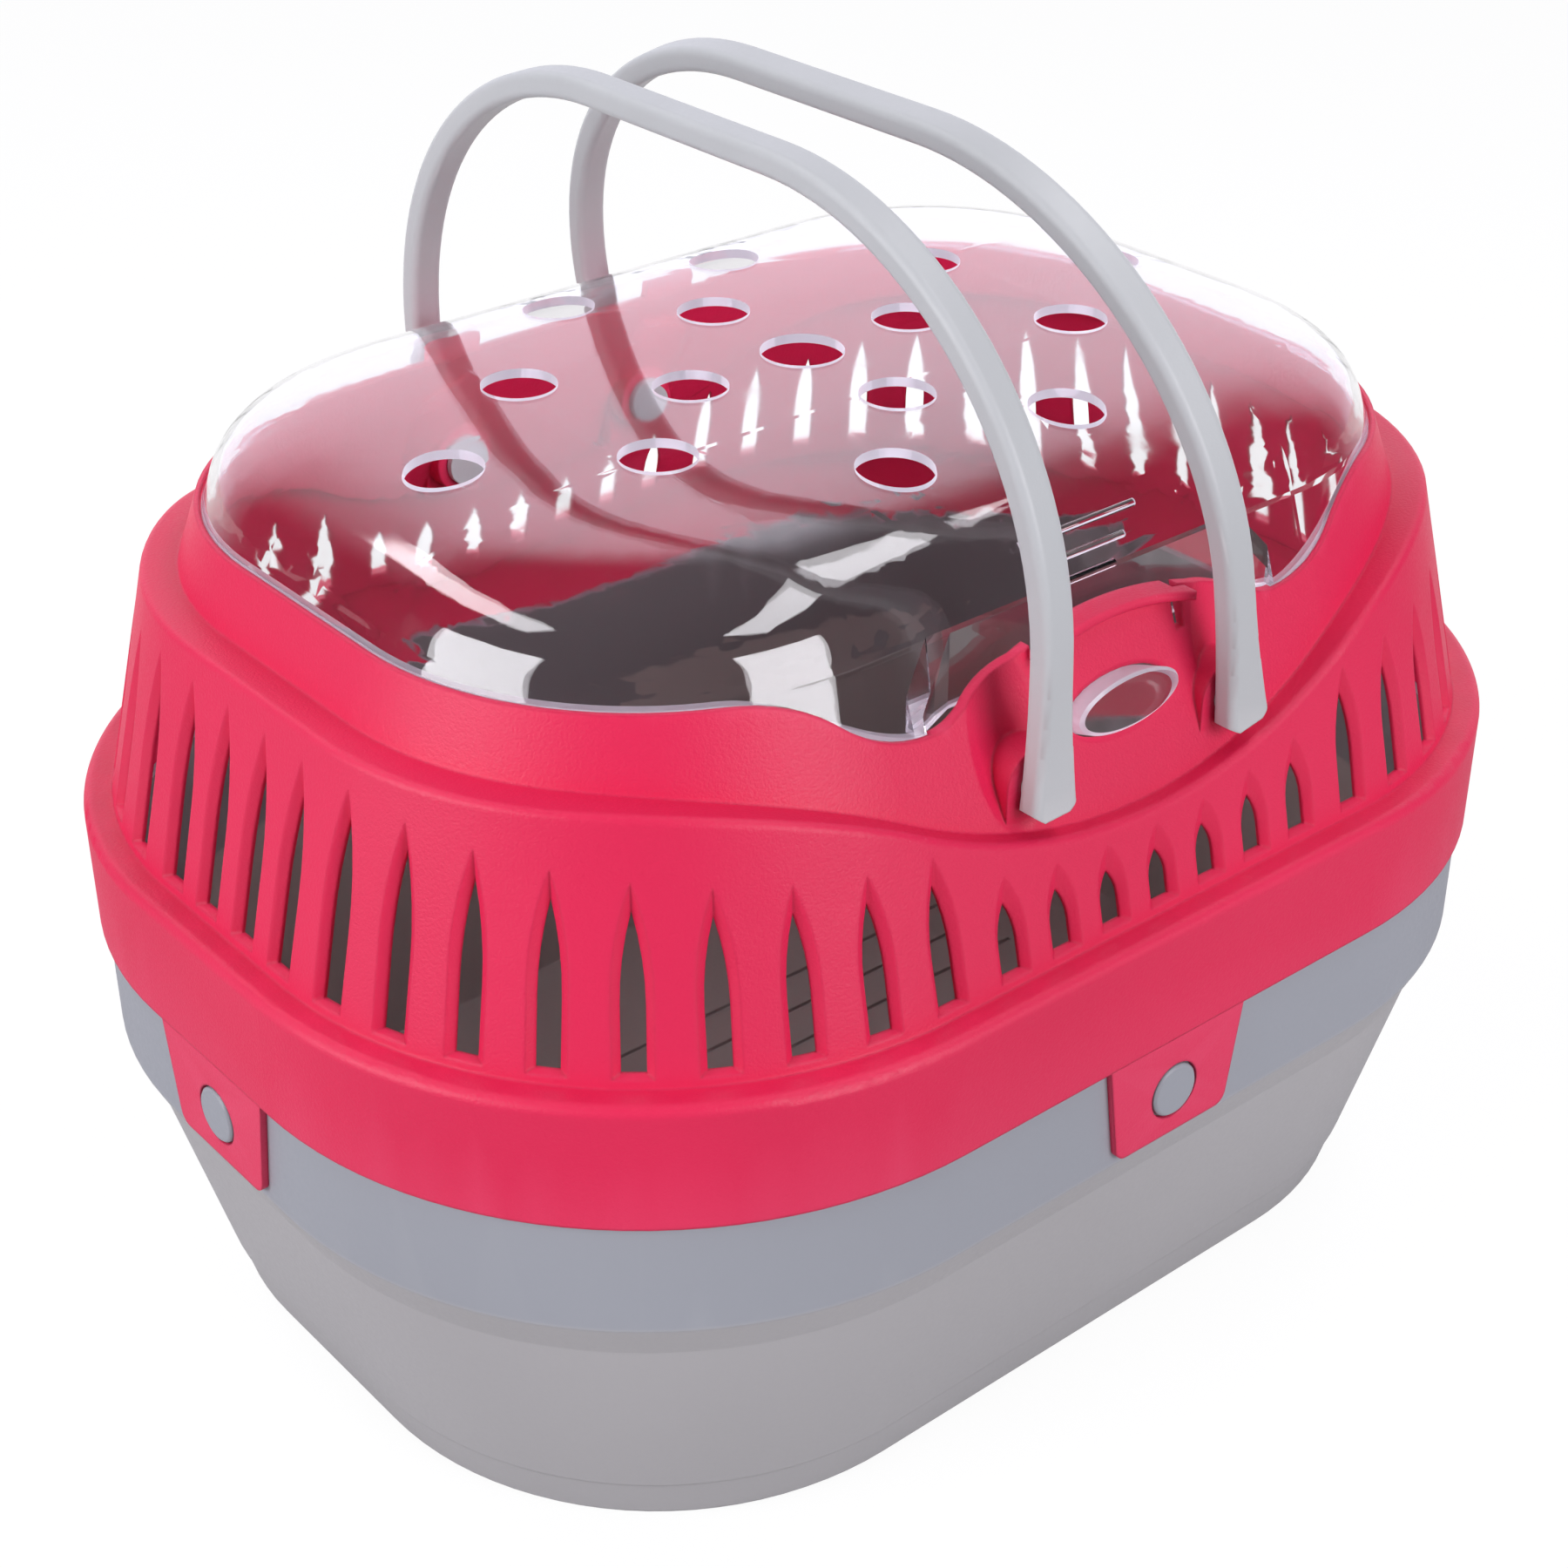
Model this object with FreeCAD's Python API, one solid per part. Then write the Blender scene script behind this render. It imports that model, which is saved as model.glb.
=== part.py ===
import FreeCAD, Part
import math
import os

# Small animal carrier: grey tub, slotted upper shell, clear lid and two swinging handles.
# Millimetres. The origin is the centre of the underside, +X runs along the length,
# the front is at -Y and +Z is up.

V = FreeCAD.Vector

# Whole body
body_length = 300.0
body_width = 230.0
corner_share = 0.4043
wall = 2.2
clearance = 0.3
overrun = 20.0

# Heights, from the floor to the rim of the mouth
band_low = 91.7
band_height = 26.8
wall_rise = 20.9
ledge_rise = 28.2
collar_rise = 12.8

# Tub
tub_floor = 2.6
tub_foot_inset = 20.6
tub_edge_round = 1.4
tub_foot_height = 11.0
tub_foot_step = 0.5
tub_band_height = 25.2
tub_step_height = 9.0
tub_step_inset = 5.7
tub_band_inset = 1.5
tub_lip_height = 7.5
groove_count = 9
groove_pitch = 12.0
groove_width = 1.2
groove_depth = 0.8
groove_length_share = 0.62

# Studs that hold the clips
stud_drop = 12.9
stud_radius = 5.9
stud_proud = 0.4
stud_bevel = 0.5

# Clips
clip_top_half = 18.8
clip_low_half = 15.4
clip_length = 23.3
clip_corner = 3.0
clip_hole_play = 0.5

# Shell band, slotted wall and ledge
band_round = 2.2
wall_foot_inset = 6.0
wall_draft = 0.234
ledge_run_share = 0.7467
ledge_round = 1.6

# Collar above the ledge
rim_inset = 29.4
collar_draft = 0.354
rim_drop = 14.4
rim_level_share = 0.56
hump_foot_half = 45.5
hump_drop = 3.9
hump_crown_share = 0.867
seat_depth = 0.9
seat_lip = 1.1
seat_gap = 0.5

# Lugs on the rear rim that stand behind the lid
lug_x = 30.0
lug_half = 6.6
lug_rise = 6.0
lug_round = 2.6

# Slots
slot_width = 4.6
slot_bevel_width = 8.6
slot_bevel_depth = 1.5
slot_bevel_rise = 7.0
slot_bevel_drop = 1.0
slot_lift = 2.5
slot_shoulder_share = 0.42
short_slot_half_count = 3
short_slot_pitch = 13.2
short_slot_margin = 8.6
short_slot_tip_gain = 3.8
corner_slot_count = 9
corner_slot_first = 55.5
corner_slot_last = 35.0
corner_tip_rise = 4.6
end_slot_first = 6.6
end_slot_pitch = 13.0
end_slot_margin = 10.7

# Handle bosses and the shallow scoops above them
boss_radius = 7.4
boss_back_inset = 26.8
scoop_x = 29.5
scoop_drop = 20.4
scoop_depth = 2.2
scoop_radius = 18.0
scoop_sweep_radius = 57.0

# Latch tongue
tongue_half = 17.2
tongue_slit = 2.5
tongue_drop = 14.2
lip_half = 20.6
lip_front_inset = 22.2
lip_hollow = 2.2
lip_thickness = 2.0
lip_root_share = 0.4
lip_round = 0.8

# Lid catch button
catch_drop = 22.2
catch_half_length = 13.7
catch_half_height = 5.9
catch_play = 0.4
catch_flange = 1.2
catch_flange_thickness = 1.4
catch_foot_proud = 0.9
catch_bevel = 0.7
catch_bezel = 1.2
catch_bezel_depth = 0.6

# Lid
lid_wall = 2.0
lid_rise = 19.6
lid_run_share = 0.952
lid_across_shares = [0.0, 0.03, 0.08, 0.135, 0.21, 0.30, 0.43, 0.60, 0.80, 0.93, 1.0]
lid_up_shares = [0.0, 0.235, 0.475, 0.61, 0.73, 0.835, 0.92, 0.967, 0.990, 0.998, 1.0]
lid_skirt_drop = 30.4
lid_flap_inset = 31.2
lid_flap_half_length = 36.0
lid_flap_flare_share = 2.4
centre_hole_radius = 8.7
vent_hole_radius = 7.7
ring_hole_length_share = 0.193
ring_hole_width_share = 0.252
side_hole_length_share = 0.363
side_hole_width_share = 0.196
edge_hole_length_share = 0.15
edge_hole_width_share = 0.465
end_hole_length_share = 0.583
rib_radius = 0.8
rib_run_shares = [0.081, 0.037, 0.007]
rib_halves = [15.0, 10.0, 6.2]

# Handles
pivot_x = 26.0
pivot_drop = 28.0
handle_inset = 11.6
handle_height = 103.2
handle_bend_share = 0.7393
handle_thickness = 5.4
handle_width = 7.5
handle_edge = 1.7
foot_width = 11.2
foot_drop = 5.4
foot_corner = 2.4
foot_corner_rise = 2.0
pin_radius = 4.0
pin_play = 0.06
pin_head_radius = 5.2
pin_head_thickness = 1.6
left_lean_angle = -2.0
right_lean_angle = -10.5

# Places that follow from the sizes above
half_length = body_length / 2
half_width = body_width / 2
corner_radius = body_width * corner_share
band_high = band_low + band_height
ledge_low = band_high + wall_rise
ledge_high = ledge_low + ledge_rise
rim_height = ledge_high + collar_rise
tub_step_high = band_low - tub_band_height
tub_step_low = tub_step_high - tub_step_height
stud_height = band_low - stud_drop
clip_low = band_low - clip_length
ledge_run = half_length * ledge_run_share
rim_level_half = half_length * rim_level_share
rim_low = rim_height - rim_drop
hump_high = rim_height - hump_drop
slot_foot = band_high + slot_lift
short_slot_tip = ledge_low - short_slot_margin
corner_tip_first = ledge_low + corner_tip_rise
end_slot_tip = ledge_high - end_slot_margin
boss_back = half_width - boss_back_inset
scoop_height = rim_height - scoop_drop
tongue_foot = rim_height - tongue_drop
lip_front = half_width - lip_front_inset
catch_height = rim_height - catch_drop
lid_foot_inset = rim_inset + seat_lip + seat_gap
lid_top = rim_height + lid_rise
lid_run = (corner_radius - lid_foot_inset) * lid_run_share
lid_skirt_low = rim_height - lid_skirt_drop
lid_flap = half_width - lid_flap_inset
pivot_z = rim_height - pivot_drop
handle_half_span = half_width - handle_inset
handle_bend = handle_half_span * handle_bend_share


def outline(z, inset):
    """Closed rounded rectangle at a height, drawn in from the widest outline."""
    hx = half_length - inset
    hy = half_width - inset
    r = corner_radius - inset
    near = r * (1 - math.sqrt(0.5))
    corners = [(1, -1), (1, 1), (-1, 1), (-1, -1)]
    edges = []
    for index, (sx, sy) in enumerate(corners):
        along_x = V(sx * (hx - r), sy * hy, z)
        along_y = V(sx * hx, sy * (hy - r), z)
        middle = V(sx * (hx - near), sy * (hy - near), z)
        start, end = (along_x, along_y) if sx * sy < 0 else (along_y, along_x)
        edges.append(Part.Arc(start, middle, end).toShape())
        nx, ny = corners[(index + 1) % len(corners)]
        if nx == sx:
            following = V(nx * hx, ny * (hy - r), z)
        else:
            following = V(nx * (hx - r), ny * hy, z)
        edges.append(Part.makeLine(end, following))
    return Part.Wire(edges)


def tapered(levels, ruled=True):
    return Part.makeLoft([outline(z, inset) for z, inset in levels], True, ruled)


def box(x0, x1, y0, y1, z0, z1):
    return Part.makeBox(x1 - x0, y1 - y0, z1 - z0, V(x0, y0, z0))


def flared(x0, x1, y, flare, z0, z1):
    """Upright block in front of y whose sides spread as they come forward."""
    front = -half_width - overrun
    spread = flare * (y - front)
    points = [V(x0, y, z0), V(x1, y, z0), V(x1 + spread, front, z0), V(x0 - spread, front, z0)]
    return Part.Face(Part.makePolygon(points + points[:1])).extrude(V(0, 0, z1 - z0))


def s_curve(x0, z0, x1, z1, upper_share=0.5):
    """Two arcs that are level where they start and end, the upper one with its share of their radii."""
    dx = abs(x1 - x0)
    dz = abs(z1 - z0)
    radii = (dx * dx + dz * dz) / (2 * dz)
    turn = 2 * math.atan2(dz, dx)
    upward = math.copysign(1, z1 - z0)
    along = math.copysign(1, x1 - x0)
    first = radii * (upper_share if upward < 0 else 1 - upper_share)
    last = radii - first

    def offset(radius, angle):
        return V(along * radius * math.sin(angle), 0, upward * radius * (1 - math.cos(angle)))

    start = V(x0, 0, z0)
    end = V(x1, 0, z1)
    meet = start + offset(first, turn)
    return [
        Part.Arc(start, start + offset(first, turn / 2), meet).toShape(),
        Part.Arc(meet, end - offset(last, turn / 2), end).toShape(),
    ]


def below(stations, crown_half=0.0):
    """Everything under a line of level stretches joined by S curves, with a broad crown in the middle."""
    far_x = half_length + overrun
    far_y = half_width + overrun
    edges = []
    for (x0, z0), (x1, z1) in zip(stations, stations[1:]):
        if z0 == z1:
            edges.append(Part.makeLine(V(x0, 0, z0), V(x1, 0, z1)))
        else:
            crown = max(abs(x0), abs(x1)) <= crown_half
            edges.extend(s_curve(x0, z0, x1, z1, hump_crown_share if crown else 0.5))
    first = V(-far_x, 0, stations[0][1])
    last = V(far_x, 0, stations[-1][1])
    low_first = V(-far_x, 0, -overrun)
    low_last = V(far_x, 0, -overrun)
    edges.append(Part.makeLine(last, low_last))
    edges.append(Part.makeLine(low_last, low_first))
    edges.append(Part.makeLine(low_first, first))
    face = Part.Face(Part.Wire(edges))
    face.translate(V(0, -far_y, 0))
    return face.extrude(V(0, 2 * far_y, 0))


def level_behind(block, level):
    """Keeps the front half of a block and makes its rear half level."""
    far_x = half_length + overrun
    far_y = half_width + overrun
    front = block.common(box(-far_x, far_x, -far_y, 0, -overrun, rim_height + 2 * overrun))
    return front.fuse(box(-far_x, far_x, 0, far_y, -overrun, level)).removeSplitter()


def mirrored(stations):
    return stations + [(-x, z) for x, z in reversed(stations) if x != 0]


def below_ledge(drop=0.0):
    far_x = half_length + overrun
    half = [(-far_x, ledge_high - drop), (-ledge_run, ledge_high - drop), (0, ledge_low - drop)]
    return below(mirrored(half))


def below_rim():
    far_x = half_length + overrun
    half = [(-far_x, rim_height), (-rim_level_half, rim_height), (-hump_foot_half, rim_low), (0, hump_high)]
    return level_behind(below(mirrored(half), hump_foot_half), rim_height)


def below_lid(drop=0.0):
    far_x = half_length + overrun
    high = rim_height - seat_depth - drop
    low = rim_low - seat_depth - drop
    half = [(-far_x, high), (-rim_level_half, high), (-hump_foot_half, low)]
    return level_behind(below(mirrored(half)), high)


def wall_inset(z):
    return wall_foot_inset + wall_draft * (z - band_high)


def collar_inset(z):
    return rim_inset - collar_draft * (rim_height - z)


def on_axes(shape, origin, across, up, out):
    """Moves a shape drawn with X across, Y up and Z outwards onto a wall."""
    matrix = FreeCAD.Matrix(
        across.x, up.x, out.x, origin.x,
        across.y, up.y, out.y, origin.y,
        across.z, up.z, out.z, origin.z,
        0, 0, 0, 1)
    moved = shape.copy()
    moved.Placement = FreeCAD.Placement(matrix)
    return moved


def to_rear(shape):
    turned = shape.copy()
    turned.rotate(V(0, 0, 0), V(0, 0, 1), 180)
    return turned


def clip_outline(y, z_top):
    """Clip seen from the front: a short trapezoid with rounded lower corners."""
    low = V(clip_low_half, y, clip_low)
    top = V(clip_top_half, y, z_top)
    side = (top - low).normalize()
    lead = clip_corner * math.tan((math.pi / 2 - math.atan2(side.x, side.z)) / 2)
    on_side = low + side * lead
    on_foot = low - V(lead, 0, 0)
    inward = V(-side.z, 0, side.x)
    centre = on_side + inward * clip_corner
    middle = centre + (low - centre).normalize() * clip_corner

    def left(p):
        return V(-p.x, p.y, p.z)

    edges = [
        Part.makeLine(left(top), left(on_side)),
        Part.Arc(left(on_side), left(middle), left(on_foot)).toShape(),
        Part.makeLine(left(on_foot), on_foot),
        Part.Arc(on_foot, middle, on_side).toShape(),
        Part.makeLine(on_side, top),
        Part.makeLine(top, left(top)),
    ]
    return Part.Wire(edges)


def make_clip():
    plate = Part.Face(clip_outline(-half_width, band_low)).extrude(V(0, tub_band_inset, 0))
    hole = Part.makeCylinder(stud_radius + clip_hole_play, 2 * overrun,
                             V(0, -half_width - overrun, stud_height), V(0, 1, 0))
    return plate.cut(hole)


def round_the_sides(front):
    """Copies of a front feature for the front, right, rear and left of the body."""
    reach = half_length - half_width
    copies = []
    for angle in (0, 90, 180, 270):
        turned = front.copy()
        turned.rotate(V(0, 0, 0), V(0, 0, 1), angle)
        if angle % 180:
            turned.translate(V(reach if angle == 90 else -reach, 0, 0))
        copies.append(turned)
    return copies


def make_tub():
    foot_slope = (tub_foot_inset - tub_step_inset) / tub_step_low
    foot_inset = tub_foot_inset - foot_slope * tub_foot_height
    outer_levels = [
        (0, tub_foot_inset + tub_edge_round),
        (tub_edge_round, tub_foot_inset - foot_slope * tub_edge_round + tub_foot_step),
        (tub_foot_height, foot_inset + tub_foot_step),
        (tub_foot_height + tub_foot_step, foot_inset - foot_slope * tub_foot_step),
        (tub_step_low, tub_step_inset),
        (tub_step_high, tub_band_inset),
        (band_low, tub_band_inset),
    ]
    lip_inset = wall + clearance
    inner_levels = [
        (tub_floor, tub_foot_inset + wall),
        (tub_step_low, tub_step_inset + wall),
        (tub_step_high, lip_inset + wall),
        (band_low + tub_lip_height + overrun, lip_inset + wall),
    ]
    outer = tapered(outer_levels)
    lip = tapered([(tub_step_high, lip_inset), (band_low + tub_lip_height, lip_inset)])
    tub = outer.fuse(lip).cut(tapered(inner_levels))
    length = tub_band_inset + stud_proud
    stud = Part.makeCylinder(stud_radius, length + wall / 2,
                             V(0, -half_width - stud_proud, stud_height), V(0, 1, 0))
    front = -half_width - stud_proud
    front_edge = [edge for edge in stud.Edges if edge.BoundBox.YMax < front + clearance]
    stud = stud.makeChamfer(stud_bevel, front_edge)
    tub = tub.fuse(round_the_sides(stud)).removeSplitter()
    groove_half = half_length * groove_length_share
    grooves = []
    for index in range(groove_count):
        y = (index - (groove_count - 1) / 2) * groove_pitch
        grooves.append(box(-groove_half, groove_half, y - groove_width / 2, y + groove_width / 2,
                           tub_floor - groove_depth, tub_floor + overrun))
    return tub.cut(grooves)


def lancet(width, foot, tip, out):
    """Pointed slot outline, level at the foot, drawn flat with Y up."""
    half = width / 2
    shoulder = foot + slot_shoulder_share * (tip - foot)
    rise = tip - shoulder
    radius = (rise * rise + half * half) / (2 * half)
    half_turn = math.asin(rise / radius) / 2
    bulge_x = half - radius * (1 - math.cos(half_turn))
    bulge_y = shoulder + radius * math.sin(half_turn)
    point = V(0, tip, out)
    edges = [
        Part.makeLine(V(-half, foot, out), V(half, foot, out)),
        Part.makeLine(V(half, foot, out), V(half, shoulder, out)),
        Part.Arc(V(half, shoulder, out), V(bulge_x, bulge_y, out), point).toShape(),
        Part.Arc(point, V(-bulge_x, bulge_y, out), V(-half, shoulder, out)).toShape(),
        Part.makeLine(V(-half, shoulder, out), V(-half, foot, out)),
    ]
    return Part.Wire(edges)


def slot_cutters(height):
    """A bevelled mouth and a through opening for one slot of the given height."""
    outside = lancet(slot_bevel_width, -slot_bevel_drop, height + slot_bevel_rise, clearance)
    inside = lancet(slot_width, 0, height, -slot_bevel_depth)
    mouth = Part.makeLoft([outside, inside], True, True)
    through = Part.Face(lancet(slot_width, 0, height, clearance)).extrude(V(0, 0, -overrun / 2))
    return [mouth, through]


def wall_place(distance):
    """Point and outward direction at a distance from the front centre towards +X, at the slots' foot."""
    inset = wall_inset(slot_foot)
    r = corner_radius - inset
    side = half_length - corner_radius
    quarter = r * math.pi / 2
    if distance <= side:
        return V(distance, -half_width + inset, slot_foot), V(0, -1, 0)
    if distance <= side + quarter:
        turn = (distance - side) / r
        out = V(math.sin(turn), -math.cos(turn), 0)
        centre = V(side, -half_width + corner_radius, slot_foot)
        return centre + out * r, out
    rest = distance - side - quarter
    return V(half_length - inset, -half_width + corner_radius + rest, slot_foot), V(1, 0, 0)


def slot_plan():
    """Distance along the wall and tip height of each slot in the front right quarter."""
    inset = wall_inset(slot_foot)
    quarter = half_length - corner_radius + (corner_radius - inset) * math.pi / 2
    quarter += half_width - corner_radius
    plan = []
    for index in range(short_slot_half_count + 1):
        share = index / short_slot_half_count
        plan.append((index * short_slot_pitch, short_slot_tip + short_slot_tip_gain * share * share))
    for index in range(corner_slot_count):
        share = index / (corner_slot_count - 1)
        distance = corner_slot_first + share * (quarter - corner_slot_last - corner_slot_first)
        plan.append((distance, corner_tip_first + share * (end_slot_tip - corner_tip_first)))
    for index in (1, 0):
        plan.append((quarter - end_slot_first - index * end_slot_pitch, end_slot_tip))
    return plan


def all_slots():
    lean = math.atan(wall_draft)
    cutters = []
    for distance, tip in slot_plan():
        origin, level_out = wall_place(distance)
        out = level_out * math.cos(lean) + V(0, 0, math.sin(lean))
        up = V(0, 0, math.cos(lean)) - level_out * math.sin(lean)
        across = up.cross(out)
        height = (tip - slot_foot) / math.cos(lean)
        for cutter in slot_cutters(height):
            placed = on_axes(cutter, origin, across, up, out)
            quarters = [placed, to_rear(placed)]
            if distance > 0:
                flipped = placed.mirror(V(0, 0, 0), V(1, 0, 0))
                quarters += [flipped, to_rear(flipped)]
            cutters += quarters
    return cutters


def panel_axes(z):
    """Point on the collar's front face with its across, up and outward directions."""
    lean = math.atan(collar_draft)
    origin = V(0, -half_width + collar_inset(z), z)
    return origin, V(1, 0, 0), V(0, math.sin(lean), math.cos(lean)), V(0, -math.cos(lean), math.sin(lean))


def oval_wire(grow, z):
    ellipse = Part.Ellipse(V(0, 0, z), catch_half_length + grow, catch_half_height + grow)
    return Part.Wire([ellipse.toShape()])


def oval(grow, low, high):
    return Part.Face(oval_wire(grow, low)).extrude(V(0, 0, high - low))


def collar_block():
    low = ledge_low - overrun
    high = rim_height + overrun / 2
    return tapered([(low, collar_inset(low)), (high, collar_inset(high))]).common(below_rim())


def rear_lugs():
    front = half_width - rim_inset - seat_lip
    root = rim_height - seat_lip / collar_draft
    high = rim_height + lug_rise
    lugs = []
    for side in (-1, 1):
        x = side * lug_x
        lug = box(x - lug_half, x + lug_half, front, front + wall, root, high)
        corners = [edge for edge in lug.Edges if edge.BoundBox.ZMin > high - clearance
                   and abs(edge.CenterOfMass.x - x) > lug_half - clearance]
        lugs.append(lug.makeFillet(lug_round, corners))
    return lugs


def make_shell():
    band = Part.Face(outline(band_low, 0)).extrude(V(0, 0, band_high - band_low))
    top_edges = [edge for edge in band.Edges if edge.BoundBox.ZMin > band_high - clearance]
    band = band.makeFillet(band_round, top_edges)
    wall_foot = band_high - band_round
    wall_top = ledge_high + overrun
    walls = tapered([(wall_foot, wall_inset(wall_foot)), (wall_top, wall_inset(wall_top))])
    walls = walls.common(below_ledge())
    shoulder = [edge for edge in walls.Edges if edge.BoundBox.ZMin > ledge_low - clearance]
    walls = walls.makeFillet(ledge_round, shoulder)
    collar = collar_block()
    outer = band.fuse([walls, collar])

    roof = band_high - wall
    band_room = tapered([(band_low - overrun, wall), (roof, wall)])
    room_low = roof - overrun
    wall_room = tapered([(room_low, wall_inset(room_low) + wall), (wall_top, wall_inset(wall_top) + wall)])
    wall_room = wall_room.common(below_ledge(wall))
    high = rim_height + overrun
    collar_room = tapered([(wall_foot, collar_inset(wall_foot) + wall), (high, collar_inset(high) + wall)])
    collar_room = collar_room.cut(below_ledge(wall + overrun / 2))
    shell = outer.cut([band_room, wall_room, collar_room])

    far_y = half_width + overrun
    origin, across, up, out = panel_axes(scoop_height)
    hollow = V(scoop_x, 0, 0) + origin + out * (scoop_sweep_radius + scoop_radius - scoop_depth)
    scoop = Part.makeTorus(scoop_sweep_radius, scoop_radius, hollow, V(1, 0, 0)).cut(below_ledge())
    backing = Part.makeTorus(scoop_sweep_radius, scoop_radius + wall, hollow, V(1, 0, 0))
    backing = backing.common(collar).cut(below_ledge(wall))
    boss_end = handle_half_span - handle_thickness - clearance
    axis = V(0, -1, 0)
    boss = Part.makeCylinder(boss_radius, boss_end - boss_back, V(pivot_x, -boss_back, pivot_z), axis)
    stem_back = 2 * wall - boss_end
    stem = box(pivot_x - boss_radius, pivot_x + boss_radius, -boss_end, stem_back, ledge_low - wall, pivot_z)
    boss = boss.fuse(stem).cut(below_ledge())
    bore_start = V(pivot_x, overrun - boss_end, pivot_z)
    bore = Part.makeCylinder(pin_radius + pin_play, 2 * overrun, bore_start, axis)

    def four(front_right):
        flipped = front_right.mirror(V(0, 0, 0), V(1, 0, 0))
        return [front_right, flipped, to_rear(front_right), to_rear(flipped)]

    shell = shell.fuse(four(backing)).cut(four(scoop))
    shell = shell.fuse(four(boss)).cut(four(bore))

    origin, across, up, out = panel_axes(catch_height)
    hole = oval(0, -overrun / 2, overrun / 2)
    bezel = Part.makeLoft([oval_wire(0, -catch_bezel_depth), oval_wire(catch_bezel, clearance)], True, True)
    hole = on_axes(hole.fuse(bezel), origin, across, up, out)
    gate = tongue_half + tongue_slit
    gap = box(-gate, gate, -far_y, overrun / 2 - boss_back, tongue_foot, hump_high + overrun)
    shell = shell.cut([hole, gap]).fuse(rear_lugs())

    lip_inset = rim_inset + seat_lip
    low = rim_low - overrun
    drop = collar_draft * (rim_height - low)
    rise = collar_draft * overrun
    seat = tapered([(low, lip_inset - drop), (rim_height + overrun, lip_inset + rise)])
    seat = seat.cut(below_lid(clearance))
    middle = box(-hump_foot_half, hump_foot_half, -far_y, 0, low - overrun, rim_height + 2 * overrun)
    seat = seat.cut(middle)
    return shell.cut([seat] + all_slots())


def make_tongue():
    collar = collar_block()
    high = rim_height + overrun
    low = tongue_foot - overrun
    room = tapered([(low, collar_inset(low) + wall), (high, collar_inset(high) + wall)])
    far_y = half_width + overrun
    plate = box(-tongue_half, tongue_half, -far_y, overrun / 2 - boss_back, tongue_foot, high)
    plate = plate.common(collar.cut(room))
    hump_rise = hump_high - rim_low
    crown = hump_crown_share * (hump_foot_half * hump_foot_half + hump_rise * hump_rise) / (2 * hump_rise)
    lip_end = hump_high - crown + math.sqrt(crown * crown - lip_half * lip_half)
    root = -half_width + collar_inset(hump_high) + wall * lip_root_share
    wing = -half_width + collar_inset(lip_end - lip_thickness) - clearance
    right = [
        V(tongue_half, root, tongue_foot),
        V(tongue_half, wing, tongue_foot),
        V(lip_half, wing, tongue_foot),
        V(lip_half, -lip_front, tongue_foot),
    ]
    left = [V(-point.x, point.y, point.z) for point in reversed(right)]
    front = Part.Arc(right[-1], V(0, lip_hollow - lip_front, tongue_foot), left[0])
    edges = Part.makePolygon(right).Edges + [front.toShape()]
    edges += Part.makePolygon(left + right[:1]).Edges
    lip = Part.Face(Part.Wire(edges)).extrude(V(0, 0, high - tongue_foot))
    under = below_rim()
    under.translate(V(0, 0, -lip_thickness))
    lip = lip.common(below_rim().cut(under))
    foremost = (wing - lip_front) / 2
    rounded = [edge for edge in lip.Edges if edge.CenterOfMass.y < foremost]
    lip = lip.makeFillet(lip_round, rounded)
    return plate.fuse(lip).removeSplitter()


def make_catch():
    """Oval button with an upright face, so that it stands further out at the top than at the foot."""
    panel = wall * math.cos(math.atan(collar_draft))
    back = -panel - clearance
    plug = oval(-catch_play, back - catch_flange_thickness, overrun / 2)
    flange = oval(catch_flange, back - catch_flange_thickness, back)
    origin, across, up, out = panel_axes(catch_height)
    button = on_axes(plug.fuse(flange), origin, across, up, out)
    foot = catch_height - catch_half_height * up.z
    face = -half_width + collar_inset(foot) - catch_foot_proud
    far_x = half_length
    button = button.cut(box(-far_x, far_x, face - 2 * overrun, face, 0, rim_height + overrun))
    front = [edge for edge in button.Edges if edge.BoundBox.YMax < face + catch_bevel / 2]
    return button.makeChamfer(catch_bevel, front)


def lid_levels(thinner):
    base = lid_foot_inset + thinner
    rise = lid_rise - thinner
    run = lid_run - thinner
    shares = zip(lid_up_shares, lid_across_shares)
    return [(rim_height + rise * up, base + run * across) for up, across in shares]


def lid_height(inset):
    levels = lid_levels(0)
    for (z0, i0), (z1, i1) in zip(levels, levels[1:]):
        if inset <= i1:
            return z0 + (z1 - z0) * (inset - i0) / (i1 - i0)
    return lid_top


def lid_block(thinner):
    dome = tapered(lid_levels(thinner), False)
    base = lid_foot_inset + thinner
    low = lid_skirt_low - thinner
    skirt = tapered([(low, base - collar_draft * (rim_height - low)), (rim_height, base)])
    solid = dome.fuse(skirt).removeSplitter()
    flap = lid_flap - thinner
    half = lid_flap_half_length + thinner * lid_flap_flare_share
    notch = flared(-half, half, -flap, lid_flap_flare_share, low - overrun, rim_height + overrun)
    limit = hump_foot_half + seat_gap + thinner
    far_y = half_width + overrun
    notch = notch.common(box(-limit, limit, -far_y, far_y, low - 2 * overrun, rim_height + 2 * overrun))
    return solid.cut(notch)


def lid_hole_plan():
    """Place and radius of each air hole."""
    holes = [(0, 0, centre_hole_radius)]
    for side in (-1, 1):
        x = side * half_length
        y = side * half_width
        holes.append((x * ring_hole_length_share, 0, vent_hole_radius))
        holes.append((0, y * ring_hole_width_share, vent_hole_radius))
        holes.append((x * end_hole_length_share, 0, vent_hole_radius))
        for other in (-half_width, half_width):
            holes.append((x * side_hole_length_share, other * side_hole_width_share, vent_hole_radius))
            holes.append((x * edge_hole_length_share, other * edge_hole_width_share, vent_hole_radius))
    return holes


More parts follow.
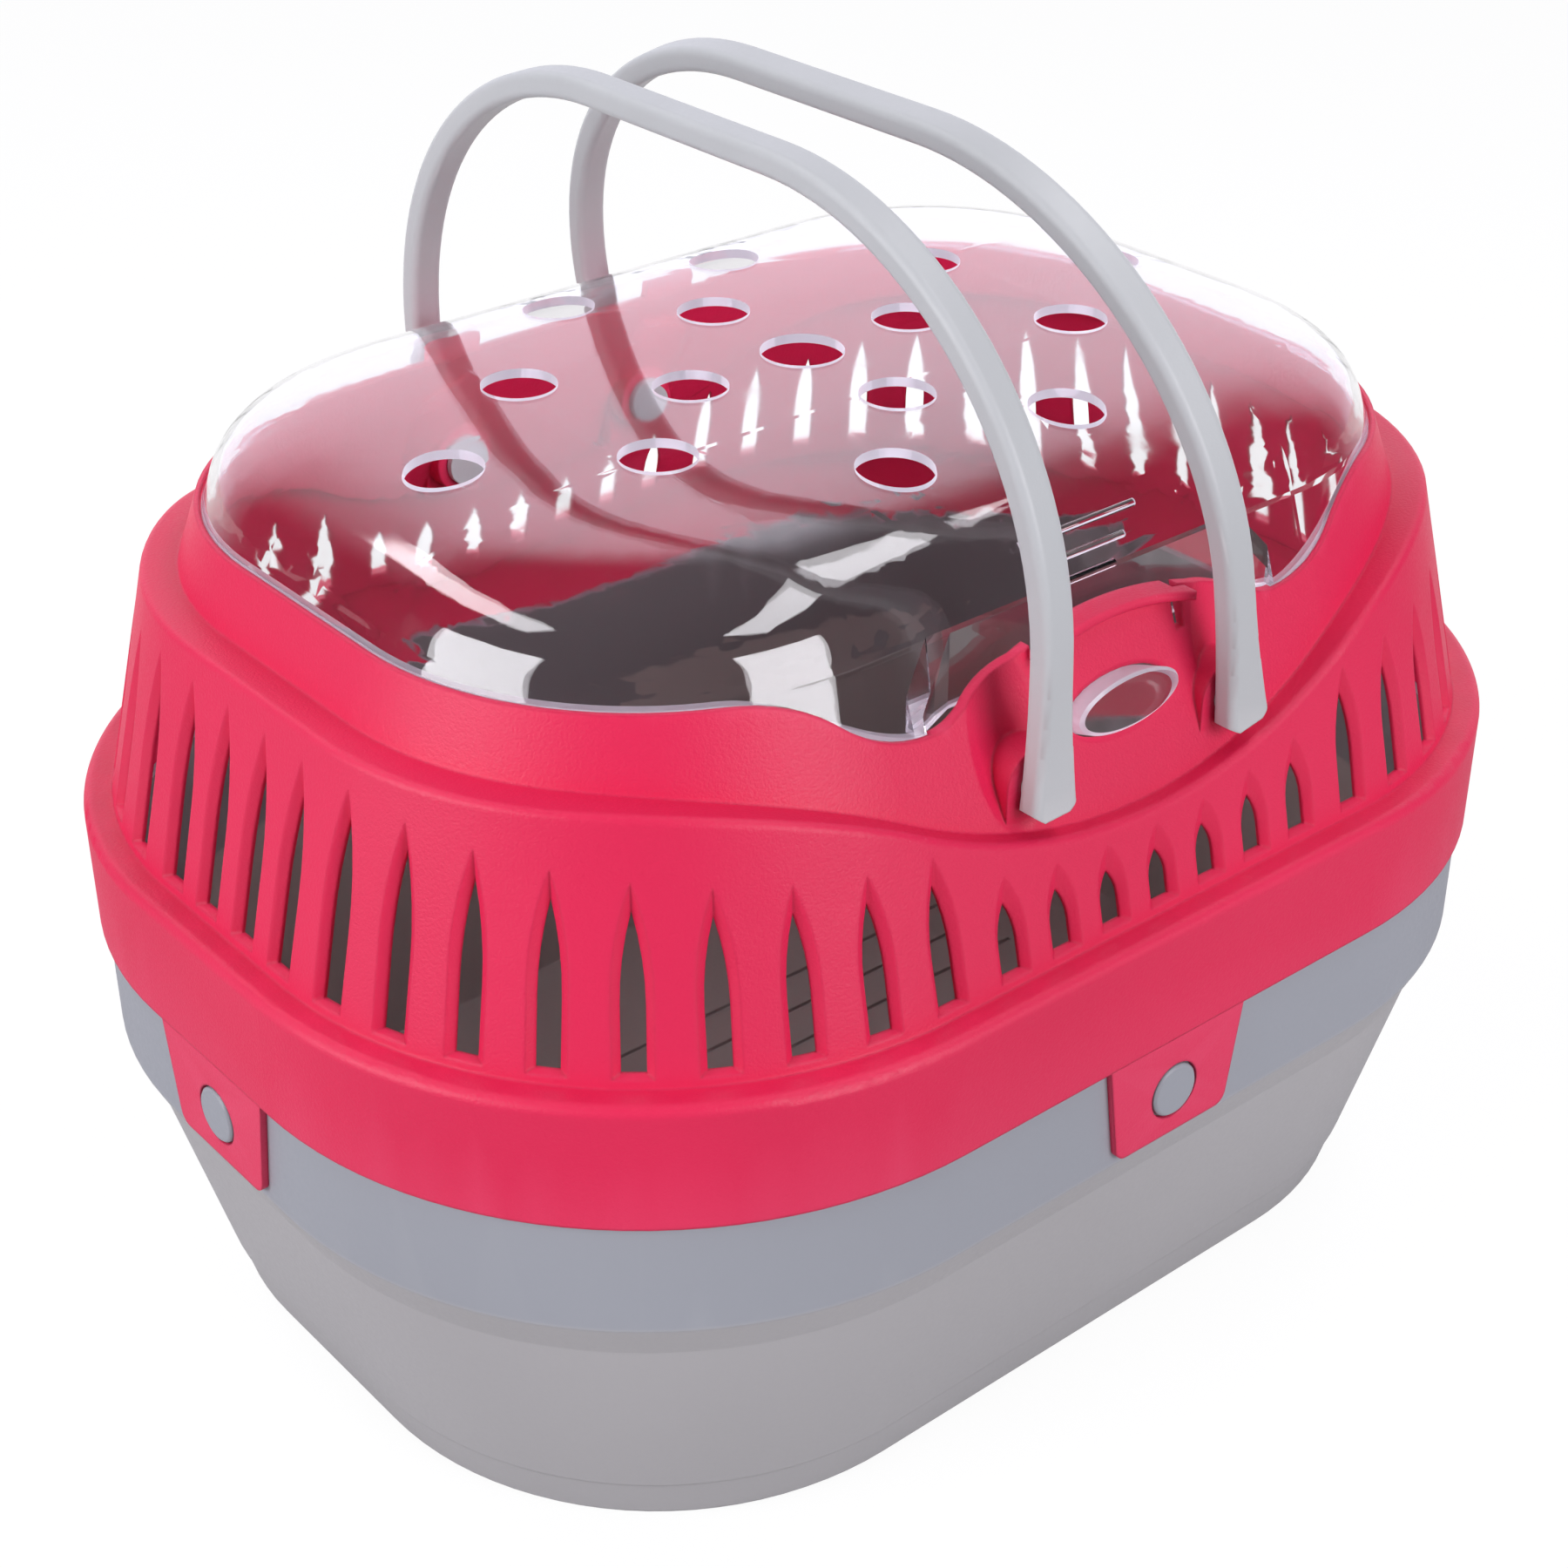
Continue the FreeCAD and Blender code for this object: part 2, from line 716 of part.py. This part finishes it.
def make_lid():
    shell = lid_block(0).cut(lid_block(lid_wall)).cut(below_lid())
    ribs = []
    for share, half in zip(rib_run_shares, rib_halves):
        inset = lid_foot_inset + lid_run * share
        start = V(-half, -half_width + inset, lid_height(inset))
        ribs.append(Part.makeCylinder(rib_radius, 2 * half, start, V(1, 0, 0)))
    holes = []
    for x, y, radius in lid_hole_plan():
        holes.append(Part.makeCylinder(radius, 2 * overrun, V(x, y, lid_top - overrun), V(0, 0, 1)))
    return shell.fuse(ribs).cut(holes)


def arch_edges(drawn_in, x):
    span = handle_half_span - drawn_in
    top = handle_height - drawn_in
    bend = handle_bend - drawn_in
    near = bend * (1 - math.sqrt(0.5))
    return [
        Part.makeLine(V(x, -span, -foot_drop), V(x, -span, top - bend)),
        Part.Arc(V(x, -span, top - bend), V(x, near - span, top - near), V(x, bend - span, top)).toShape(),
        Part.makeLine(V(x, bend - span, top), V(x, span - bend, top)),
        Part.Arc(V(x, span - bend, top), V(x, span - near, top - near), V(x, span, top - bend)).toShape(),
        Part.makeLine(V(x, span, top - bend), V(x, span, -foot_drop)),
    ]


def handle_side(y, flare_top, flare_low):
    """Handle seen along its pins: parallel above, spreading in an arc to a foot with cut corners."""
    top = handle_height + overrun
    spread = (foot_width - handle_width) / 2
    drop = flare_top - flare_low
    radius = (drop * drop + spread * spread) / (2 * spread)
    turn = math.asin(drop / radius) / 2
    high = V(handle_width / 2, y, flare_top)
    bulge = high + V(radius * (1 - math.cos(turn)), 0, -radius * math.sin(turn))
    low = V(foot_width / 2, y, flare_low)
    toe = V(foot_width / 2 - foot_corner, y, -foot_drop)
    peak = V(handle_width / 2, y, top)

    def left(p):
        return V(-p.x, p.y, p.z)

    edges = [
        Part.makeLine(peak, high),
        Part.Arc(high, bulge, low).toShape(),
        Part.makeLine(low, toe),
        Part.makeLine(toe, left(toe)),
        Part.makeLine(left(toe), left(low)),
        Part.Arc(left(low), left(bulge), left(high)).toShape(),
        Part.makeLine(left(high), left(peak)),
        Part.makeLine(left(peak), peak),
    ]
    return Part.Face(Part.Wire(edges))


def make_handle(side, lean):
    inner_span = handle_half_span - handle_thickness
    flare_top = handle_height - handle_bend
    flare_low = foot_corner_rise - foot_drop
    x = -foot_width / 2
    edges = arch_edges(0, x) + arch_edges(handle_thickness, x)
    for end in (-1, 1):
        inner = V(x, end * inner_span, -foot_drop)
        edges.append(Part.makeLine(inner, V(x, end * handle_half_span, -foot_drop)))
    arch = Part.Face(Part.Wire(Part.__sortEdges__(edges))).extrude(V(foot_width, 0, 0))
    far_y = handle_half_span + overrun
    arch = arch.common(handle_side(-far_y, flare_top, flare_low).extrude(V(0, 2 * far_y, 0)))
    long_edges = [edge for edge in arch.Edges if abs(edge.CenterOfMass.x) > handle_width / 2 - clearance
                  and edge.CenterOfMass.z > flare_low + clearance]
    handle = arch.makeFillet(handle_edge, long_edges)
    pin_end = boss_back - clearance
    start = inner_span + handle_thickness / 2
    pin = Part.makeCylinder(pin_radius, start - pin_end + pin_head_thickness, V(0, start, 0), V(0, -1, 0))
    head = Part.makeCylinder(pin_head_radius, pin_head_thickness, V(0, pin_end, 0), V(0, -1, 0))
    handle = handle.fuse([pin, head, to_rear(pin), to_rear(head)])
    handle.rotate(V(0, 0, 0), V(0, 1, 0), lean)
    handle.translate(V(side * pivot_x, 0, pivot_z))
    return handle


def main():
    os.makedirs("parts", exist_ok=True)
    clip_names = ["clip_front", "clip_right", "clip_rear", "clip_left"]
    nodes = {
        "base_tub": make_tub(),
        "upper_shell": make_shell(),
        "clear_lid": make_lid(),
        "handle_left": make_handle(-1, left_lean_angle),
        "handle_right": make_handle(1, right_lean_angle),
        "latch_tongue": make_tongue(),
        "lid_catch": make_catch(),
    }
    nodes.update(zip(clip_names, round_the_sides(make_clip())))
    for name, shape in nodes.items():
        shape.exportStep("parts/" + name + ".step")
        print(name, shape.isValid(), len(shape.Solids), round(shape.Volume))


main()
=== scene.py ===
import math

import bpy
from mathutils import Matrix, Vector

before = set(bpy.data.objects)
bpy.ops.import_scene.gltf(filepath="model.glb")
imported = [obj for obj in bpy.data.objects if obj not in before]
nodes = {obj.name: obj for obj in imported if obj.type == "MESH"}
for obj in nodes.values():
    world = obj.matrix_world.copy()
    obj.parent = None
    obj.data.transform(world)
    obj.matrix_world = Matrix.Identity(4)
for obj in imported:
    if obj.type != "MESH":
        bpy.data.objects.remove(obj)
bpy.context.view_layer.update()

print("frame loaded:", len(nodes), "nodes")

# camera of the photograph, square frame
cameraSetup = {
    "place": (-0.33929, -0.40018, 0.41077),
    "turn": (59.108, 0.032, -39.899),  # degrees
    "lens": 62.96,
    "sensor": 36.0,
}

cameraData = bpy.data.cameras.new("photoCamera")
cameraData.lens = cameraSetup["lens"]
cameraData.sensor_width = cameraSetup["sensor"]
cameraData.sensor_fit = "HORIZONTAL"
camera = bpy.data.objects.new("photoCamera", cameraData)
camera.location = cameraSetup["place"]
camera.rotation_euler = [math.radians(angle) for angle in cameraSetup["turn"]]
bpy.context.scene.collection.objects.link(camera)
bpy.context.scene.camera = camera
bpy.context.scene.view_settings.view_transform = "Standard"
print("camera set")


def newMaterial(name):
    mat = bpy.data.materials.new(name)
    mat.use_nodes = True
    tree = mat.node_tree
    shader = tree.nodes["Principled BSDF"]
    return mat, tree, shader


def addNode(tree, kind, **values):
    node = tree.nodes.new(kind)
    for key, value in values.items():
        if hasattr(node, key):
            setattr(node, key, value)
        else:
            node.inputs[key].default_value = value
    return node


def link(tree, start, end):
    tree.links.new(start, end)


# a socket is linked, anything else is set as the value
def feed(tree, source, end):
    if isinstance(source, bpy.types.NodeSocket):
        link(tree, source, end)
    else:
        end.default_value = source


# maths on sockets or plain numbers
def compute(tree, operation, *terms):
    node = addNode(tree, "ShaderNodeMath", operation=operation)
    for socket, term in zip(node.inputs, terms):
        feed(tree, term, socket)
    return node.outputs[0]


def dotProduct(tree, first, second):
    node = addNode(tree, "ShaderNodeVectorMath", operation="DOT_PRODUCT")
    feed(tree, first, node.inputs[0])
    feed(tree, second, node.inputs[1])
    return node.outputs["Value"]


def splitAxes(tree, vector):
    node = addNode(tree, "ShaderNodeSeparateXYZ")
    link(tree, vector, node.inputs[0])
    return node.outputs


def objectPlace(tree):
    return addNode(tree, "ShaderNodeTexCoord").outputs["Object"]


def faceNormal(tree):
    return addNode(tree, "ShaderNodeNewGeometry").outputs["True Normal"]


# smooth step from 0 to 1 between two values
def fade(tree, value, start, end):
    node = addNode(tree, "ShaderNodeMapRange", interpolation_type="SMOOTHSTEP")
    link(tree, value, node.inputs["Value"])
    node.inputs["From Min"].default_value = start
    node.inputs["From Max"].default_value = end
    return node.outputs["Result"]


# two-stop ramp of greys or colours
def rampNode(tree, source, stops):
    ramp = tree.nodes.new("ShaderNodeValToRGB")
    for element, (place, shade) in zip(ramp.color_ramp.elements, stops):
        element.position = place
        element.color = (shade, shade, shade, 1) if isinstance(shade, float) else (*shade, 1)
    link(tree, source, ramp.inputs["Fac"])
    return ramp.outputs["Color"]


def noiseNode(tree, place, scale, detail, roughness):
    noise = addNode(tree, "ShaderNodeTexNoise", Scale=scale, Detail=detail, Roughness=roughness)
    link(tree, place, noise.inputs["Vector"])
    return noise.outputs["Fac"]


def blendColor(tree, blend, mask, color, other):
    node = addNode(tree, "ShaderNodeMix", data_type="RGBA", blend_type=blend)
    link(tree, mask, node.inputs["Factor"])
    link(tree, color, node.inputs["A"])
    node.inputs["B"].default_value = (*other, 1)
    return node.outputs["Result"]


def mixShaders(tree, share, first, second):
    node = addNode(tree, "ShaderNodeMixShader")
    feed(tree, share, node.inputs["Fac"])
    link(tree, first, node.inputs[1])
    link(tree, second, node.inputs[2])
    return node.outputs["Shader"]


def showShader(tree, shader):
    link(tree, shader, tree.nodes["Material Output"].inputs["Surface"])


# mask for the painted shade inside a tub: walls that face its middle, and the floor
def innerFaces(tree, place, look):
    facing = faceNormal(tree)
    outward = addNode(tree, "ShaderNodeVectorMath", operation="MULTIPLY")
    link(tree, place, outward.inputs[0])
    outward.inputs[1].default_value = (1, 1, 0)
    turned = dotProduct(tree, facing, outward.outputs["Vector"])
    wall = compute(tree, "LESS_THAN", turned, look["wallTurn"])
    low = compute(tree, "LESS_THAN", splitAxes(tree, place)["Z"], look["floorReach"])
    level = compute(tree, "GREATER_THAN", splitAxes(tree, facing)["Z"], look["floorTilt"])
    return compute(tree, "MAXIMUM", wall, compute(tree, "MULTIPLY", low, level))


# edge radius that drops to nothing along a fine seam
def seamRadius(tree, place, look):
    axes = splitAxes(tree, place)
    level, reach, half = look["plainLevel"]
    off = compute(tree, "ABSOLUTE", compute(tree, "SUBTRACT", axes["Z"], level))
    near = compute(tree, "LESS_THAN", off, reach)
    middle = compute(tree, "LESS_THAN", compute(tree, "ABSOLUTE", axes["X"]), half)
    plain = compute(tree, "MULTIPLY", near, middle)
    return compute(tree, "MULTIPLY", compute(tree, "SUBTRACT", 1.0, plain), look["edgeRadius"])


# values that all moulded plastics share
mould = {
    "grainDetail": 3.0, "grainRoughness": 0.6, "driftDetail": 2.0, "driftRoughness": 0.5,
    "noiseLow": 0.3, "noiseHigh": 0.7, "edgeStart": 0.56, "edgeEnd": 0.64,
    "glossSwing": 0.06, "edgeSamples": 4,
}


# satin moulded plastic: fine spark grain, broad tone drift, paler worn edges
def mouldedPlastic(name, look):
    mat, tree, shader = newMaterial(name)
    place = objectPlace(tree)
    low, high = mould["noiseLow"], mould["noiseHigh"]
    grain = noiseNode(tree, place, look["grainScale"], mould["grainDetail"], mould["grainRoughness"])
    drift = noiseNode(tree, place, look["driftScale"], mould["driftDetail"], mould["driftRoughness"])
    tone = rampNode(tree, drift, [(low, look["deep"]), (high, look["pale"])])
    if "bandColor" in look:
        band = fade(tree, splitAxes(tree, place)["Z"], *look["bandEdge"])
        tone = blendColor(tree, "MULTIPLY", band, tone, look["bandColor"])
    # painted shade: the tub's inner walls and floor are darkened
    if "inside" in look:
        tone = blendColor(tree, "MULTIPLY", innerFaces(tree, place, look), tone, look["inside"])
    sharp = addNode(tree, "ShaderNodeNewGeometry").outputs["Pointiness"]
    edge = rampNode(tree, sharp, [(mould["edgeStart"], 0.0), (mould["edgeEnd"], look["wear"])])
    tone = blendColor(tree, "MIX", edge, tone, look["worn"])
    link(tree, tone, shader.inputs["Base Color"])
    rough, swing = look["roughness"], mould["glossSwing"]
    gloss = rampNode(tree, grain, [(low, rough - swing), (high, rough + swing)])
    link(tree, gloss, shader.inputs["Roughness"])
    soft = addNode(tree, "ShaderNodeBevel", samples=mould["edgeSamples"], Radius=look["edgeRadius"])
    if "plainLevel" in look:
        link(tree, seamRadius(tree, place, look), soft.inputs["Radius"])
    bump = addNode(tree, "ShaderNodeBump", Strength=look["grainStrength"], Distance=look["grainDepth"])
    link(tree, grain, bump.inputs["Height"])
    link(tree, soft.outputs["Normal"], bump.inputs["Normal"])
    link(tree, bump.outputs["Normal"], shader.inputs["Normal"])
    shader.inputs["IOR"].default_value = look["ior"]
    return mat


shellLook = {
    "deep": (0.67, 0.012, 0.071), "pale": (0.74, 0.016, 0.083), "worn": (0.82, 0.08, 0.18), "wear": 0.5,
    "roughness": 0.46, "grainScale": 1700.0, "grainStrength": 0.5, "grainDepth": 0.0002,
    "ior": 1.44, "driftScale": 9.0, "edgeRadius": 0.001, "plainLevel": (0.1662, 0.0012, 0.0172),
}
tubLook = {
    "deep": (0.425, 0.41, 0.42), "pale": (0.465, 0.45, 0.46), "worn": (0.53, 0.53, 0.54), "wear": 0.4,
    # painted shade that darkens the tub's inner walls and floor
    "inside": (0.50, 0.45, 0.41), "wallTurn": -0.0005, "floorReach": 0.03, "floorTilt": 0.3,
    "bandColor": (0.74, 0.79, 0.86), "bandEdge": (0.0655, 0.0675),
    "roughness": 0.40, "grainScale": 900.0, "grainStrength": 0.12, "grainDepth": 0.0002,
    "ior": 1.49, "driftScale": 7.0, "edgeRadius": 0.0008,
}
handleLook = {
    "deep": (0.46, 0.47, 0.485), "pale": (0.51, 0.52, 0.535), "worn": (0.62, 0.62, 0.63), "wear": 0.5,
    "roughness": 0.42, "grainScale": 1200.0, "grainStrength": 0.15, "grainDepth": 0.0002,
    "ior": 1.49, "driftScale": 14.0, "edgeRadius": 0.0006,
}

shellMat = mouldedPlastic("crimsonShell", shellLook)
tubMat = mouldedPlastic("greyTub", tubLook)
handleMat = mouldedPlastic("paleHandle", handleLook)
print("moulded plastics made")

# clear polished plastic, faint violet in its thickness, painted reflection as a pale colour on hole walls,
# lower edge and catch walls, a few fine scuffs
clearLook = {
    "tint": (0.975, 0.962, 0.985), "roughness": 0.03, "ior": 1.58, "shade": (0.85, 0.83, 0.86),
    "scuffScale": 60.0, "scuffDetail": 6.0, "scuffRoughness": 0.7,
    "scuffStart": 0.55, "scuffEnd": 0.8, "scuffRise": 0.08,
    "waveScale": 22.0, "waveDetail": 1.0, "waveRoughness": 0.4, "waveStrength": 0.035, "waveDepth": 0.0004,
    "glintColor": (0.90, 0.86, 0.96), "glintThrough": 0.5,
    "holeShare": 0.75, "holeLevel": 0.1855, "holeTilt": 0.2,
    "rimShare": 0.35, "rimReach": 0.0009, "rimHigh": 0.1795, "rimLow": 0.1651,
    "rimStart": 0.0455, "rimEnd": 0.084,
    "wallShare": 0.75, "wallTilt": 0.85,
}


def clearPlastic(name, look, glintMask):
    mat, tree, shader = newMaterial(name)
    place = objectPlace(tree)
    scuff = noiseNode(tree, place, look["scuffScale"], look["scuffDetail"], look["scuffRoughness"])
    wave = noiseNode(tree, place, look["waveScale"], look["waveDetail"], look["waveRoughness"])
    shader.inputs["Base Color"].default_value = (*look["tint"], 1)
    shader.inputs["Transmission Weight"].default_value = 1.0
    shader.inputs["IOR"].default_value = look["ior"]
    rough = look["roughness"]
    stops = [(look["scuffStart"], rough), (look["scuffEnd"], rough + look["scuffRise"])]
    link(tree, rampNode(tree, scuff, stops), shader.inputs["Roughness"])
    bump = addNode(tree, "ShaderNodeBump", Strength=look["waveStrength"], Distance=look["waveDepth"])
    link(tree, wave, bump.inputs["Height"])
    link(tree, bump.outputs["Normal"], shader.inputs["Normal"])

    # painted reflection: a pale diffuse and translucent colour mixed in where the mask is
    glintColor = (*look["glintColor"], 1)
    pale = addNode(tree, "ShaderNodeBsdfDiffuse", Color=glintColor).outputs["BSDF"]
    through = addNode(tree, "ShaderNodeBsdfTranslucent", Color=glintColor).outputs["BSDF"]
    paintedGlint = mixShaders(tree, look["glintThrough"], pale, through)
    body = mixShaders(tree, glintMask(tree, place, look), shader.outputs["BSDF"], paintedGlint)

    # light passes to what lies behind
    shadow = addNode(tree, "ShaderNodeLightPath").outputs["Is Shadow Ray"]
    clear = addNode(tree, "ShaderNodeBsdfTransparent", Color=(*look["shade"], 1)).outputs["BSDF"]
    showShader(tree, mixShaders(tree, shadow, body, clear))
    return mat


# painted reflection on the lid: the walls of the air holes and the lower edge get a pale colour
def lidPaintedGlint(tree, place, look):
    axes = splitAxes(tree, place)
    slope = compute(tree, "ABSOLUTE", splitAxes(tree, faceNormal(tree))["Z"])
    upright = compute(tree, "LESS_THAN", slope, look["holeTilt"])
    high = compute(tree, "GREATER_THAN", axes["Z"], look["holeLevel"])
    hole = compute(tree, "MULTIPLY", compute(tree, "MULTIPLY", upright, high), look["holeShare"])
    along = fade(tree, compute(tree, "ABSOLUTE", axes["X"]), look["rimStart"], look["rimEnd"])
    level = compute(tree, "MULTIPLY_ADD", along, look["rimHigh"] - look["rimLow"], look["rimLow"])
    above = compute(tree, "SUBTRACT", axes["Z"], level)
    rim = compute(tree, "MULTIPLY", compute(tree, "LESS_THAN", above, look["rimReach"]), look["rimShare"])
    return compute(tree, "MAXIMUM", hole, rim)


# painted reflection on the side walls of the catch, its face stays clear
def catchPaintedGlint(tree, place, look):
    slope = compute(tree, "ABSOLUTE", splitAxes(tree, faceNormal(tree))["Y"])
    side = compute(tree, "LESS_THAN", slope, look["wallTilt"])
    return compute(tree, "MULTIPLY", side, look["wallShare"])


clearMat = clearPlastic("clearLid", clearLook, lidPaintedGlint)
catchMat = clearPlastic("clearCatch", clearLook, catchPaintedGlint)
print("clear plastic made")

finishes = {
    "base_tub": tubMat,
    "upper_shell": shellMat,
    "clear_lid": clearMat,
    "handle_left": handleMat,
    "handle_right": handleMat,
    "latch_tongue": shellMat,
    "lid_catch": catchMat,
    "clip_front": shellMat,
    "clip_right": shellMat,
    "clip_rear": shellMat,
    "clip_left": shellMat,
}
for nodeName, mat in finishes.items():
    nodes[nodeName].material_slots[0].material = mat
print("finishes on the nodes")

# pale floor, bright backdrop behind, a softbox on the left and in front, two strips above
studio = {
    "floorSize": 8.0,
    "floorPlace": (0, 0, -0.0002),
    "floorColor": (0.42, 0.42, 0.42),
    "floorRoughness": 0.9,
    "floorShare": 0.78,
    "floorWhite": 1.18,
    "skyTint": (0.97, 0.965, 1.08),
    "skyAim": (0.62, 0.78, 0),
    "skyDim": 0.1,
    "skyBright": 1.4,
    "skyWhite": 1.05,
    "behindStart": 0.35,
    "behindEnd": 0.85,
    "highStart": 0.64,
    "highEnd": 0.8,
    "lampTint": (0.99, 0.985, 1.02),
    "lamps": {
        "leftBox": {"place": (-1.366, 0.15, 0.628), "aim": (-0.105, -0.05, 0.188), "along": (0, 1, 0),
                    "size": (0.93, 0.825), "power": 17.0},
        "frontBox": {"place": (0.184, -1.387, 0.618), "aim": (-0.07, -0.08, 0.185), "along": (1, 0, 0),
                     "size": (0.75, 0.91), "power": 15.0},
        "leftStrip": {"place": (-0.364, 0.668, 1.19), "aim": (-0.364, 0.668, 0), "along": (0.297, 0.955, 0),
                      "size": (1.15, 0.22), "power": 4.4},
        "rightStrip": {"place": (0.430, -0.214, 1.19), "aim": (0.430, -0.214, 0), "along": (0.655, 0.756, 0),
                       "size": (1.0, 0.24), "power": 4.2},
    },
}


# 1 towards the backdrop, 0 elsewhere
def backdropShare(tree, direction):
    toward = dotProduct(tree, direction, studio["skyAim"])
    return fade(tree, toward, studio["behindStart"], studio["behindEnd"])


bpy.ops.object.select_all(action="DESELECT")
bpy.ops.mesh.primitive_plane_add(size=studio["floorSize"], location=studio["floorPlace"])
floor = bpy.context.object
floor.name = "studioFloor"
floorMat, tree, shader = newMaterial("paleFloor")
shader.inputs["Base Color"].default_value = (*studio["floorColor"], 1)
shader.inputs["Roughness"].default_value = studio["floorRoughness"]
seen = addNode(tree, "ShaderNodeLightPath").outputs
direct = compute(tree, "MAXIMUM", seen["Is Camera Ray"], seen["Is Transmission Ray"])
course = addNode(tree, "ShaderNodeVectorMath", operation="NORMALIZE")
link(tree, objectPlace(tree), course.inputs[0])
mirrored = compute(tree, "MULTIPLY", backdropShare(tree, course.outputs["Vector"]), seen["Is Glossy Ray"])
share = compute(tree, "MULTIPLY", compute(tree, "MAXIMUM", direct, mirrored), studio["floorShare"])
white = addNode(tree, "ShaderNodeEmission", Strength=studio["floorWhite"])
showShader(tree, mixShaders(tree, share, shader.outputs["BSDF"], white.outputs["Emission"]))
floor.data.materials.append(floorMat)

world = bpy.data.worlds.new("studioWorld")
world.use_nodes = True
tree = world.node_tree
direction = addNode(tree, "ShaderNodeTexCoord").outputs["Generated"]
high = fade(tree, splitAxes(tree, direction)["Z"], studio["highStart"], studio["highEnd"])
glow = compute(tree, "MULTIPLY", backdropShare(tree, direction), compute(tree, "SUBTRACT", 1.0, high))
lit = compute(tree, "MULTIPLY_ADD", glow, studio["skyBright"] - studio["skyDim"], studio["skyDim"])
seen = addNode(tree, "ShaderNodeLightPath").outputs
plain = compute(tree, "MULTIPLY", seen["Is Camera Ray"], studio["skyWhite"])
background = tree.nodes["Background"]
link(tree, compute(tree, "MAXIMUM", lit, plain), background.inputs["Strength"])
background.inputs["Color"].default_value = (*studio["skyTint"], 1)
bpy.context.scene.world = world

for lampName, lamp in studio["lamps"].items():
    data = bpy.data.lights.new(lampName, "AREA")
    data.shape = "RECTANGLE"
    data.size, data.size_y = lamp["size"]
    data.energy = lamp["power"]
    data.color = studio["lampTint"]
    obj = bpy.data.objects.new(lampName, data)
    obj.location = lamp["place"]
    back = (Vector(lamp["place"]) - Vector(lamp["aim"])).normalized()
    along = Vector(lamp["along"])
    along = (along - along.dot(back) * back).normalized()
    obj.rotation_euler = Matrix((along, back.cross(along), back)).transposed().to_euler()
    bpy.context.scene.collection.objects.link(obj)
print("studio set")
